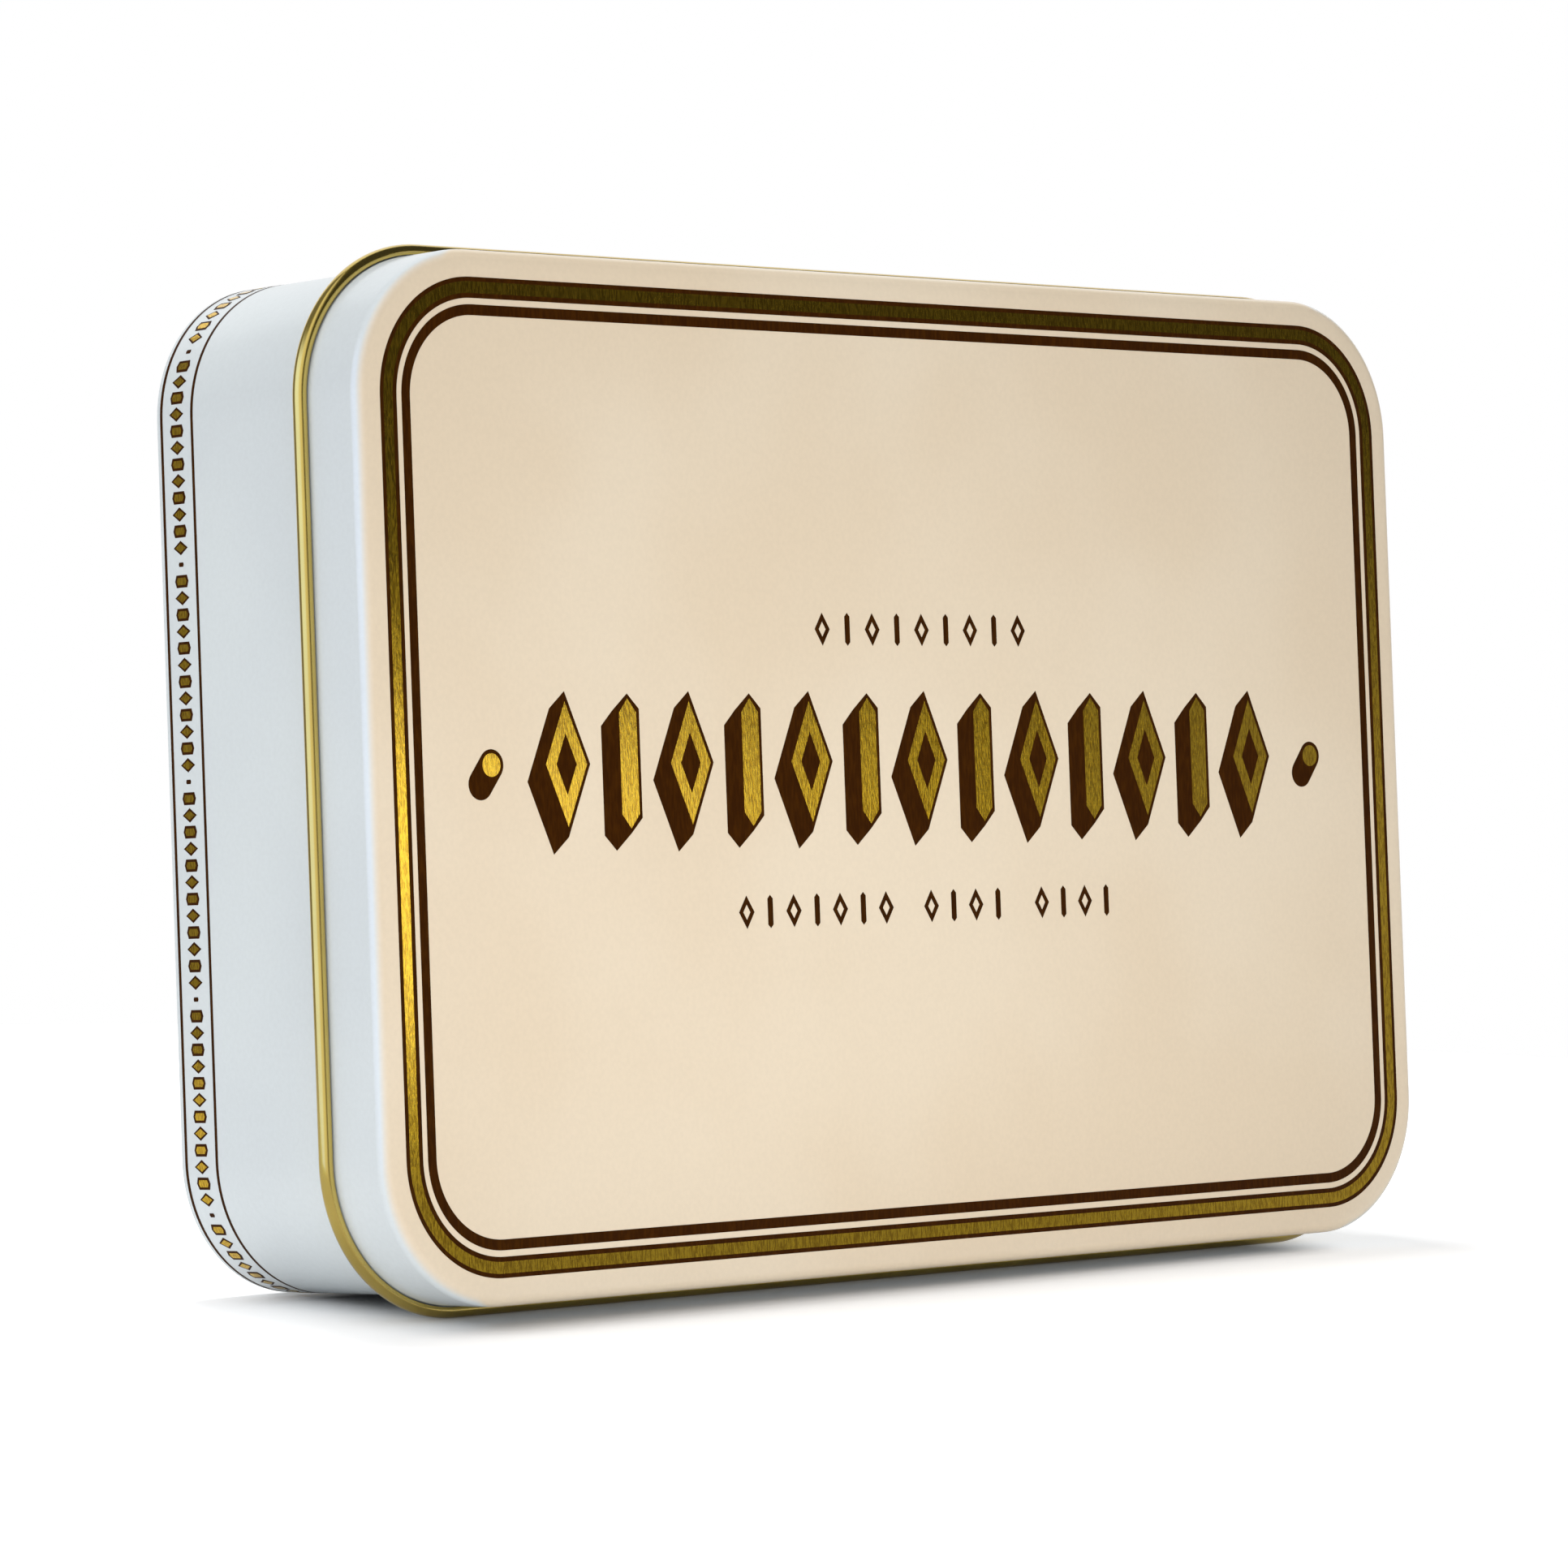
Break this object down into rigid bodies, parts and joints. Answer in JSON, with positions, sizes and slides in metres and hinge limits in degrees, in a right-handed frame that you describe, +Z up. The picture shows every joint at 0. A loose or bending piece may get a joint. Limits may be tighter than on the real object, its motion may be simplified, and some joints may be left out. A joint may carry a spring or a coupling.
{
  "type": "rectangular slip-lid tin",
  "caption": "Rectangular tinplate box with rounded corners, a slip-over lid with a rolled rim, and twisted wood-wool firelighters standing inside.",
  "frame": {"origin": "centre of the bounding box in X and Y, at its bottom, as the tin stands on one long side", "axes": "+X along the long side, -Y out of the lid's face, +Z up along the short side"},
  "size_m": [0.1574, 0.0338, 0.1092],
  "materials": {
    "lid_print": "satin",
    "wall_print": "satin",
    "base_coat": "satin",
    "wood_wool": "waxed"
  },
  "bodies": {
    "tin_body": {"body_wall": "wall_print", "base_panel": "base_coat", "firelighter_01": "wood_wool", "firelighter_02": "wood_wool", "firelighter_03": "wood_wool", "firelighter_04": "wood_wool", "firelighter_05": "wood_wool", "firelighter_06": "wood_wool", "firelighter_07": "wood_wool", "firelighter_08": "wood_wool", "firelighter_09": "wood_wool", "firelighter_10": "wood_wool", "firelighter_11": "wood_wool", "firelighter_12": "wood_wool", "firelighter_13": "wood_wool", "firelighter_14": "wood_wool", "firelighter_15": "wood_wool", "firelighter_16": "wood_wool", "firelighter_17": "wood_wool", "firelighter_18": "wood_wool", "firelighter_19": "wood_wool", "firelighter_20": "wood_wool", "firelighter_21": "wood_wool", "firelighter_22": "wood_wool", "firelighter_23": "wood_wool", "firelighter_24": "wood_wool"},
    "lid": {"lid": "lid_print"}
  },
  "joints": [
    {"name": "lid_slide", "type": "slide", "parent": "tin_body", "child": "lid", "axis": [0, -1, 0], "range_m": [0, 0.08]}
  ]
}
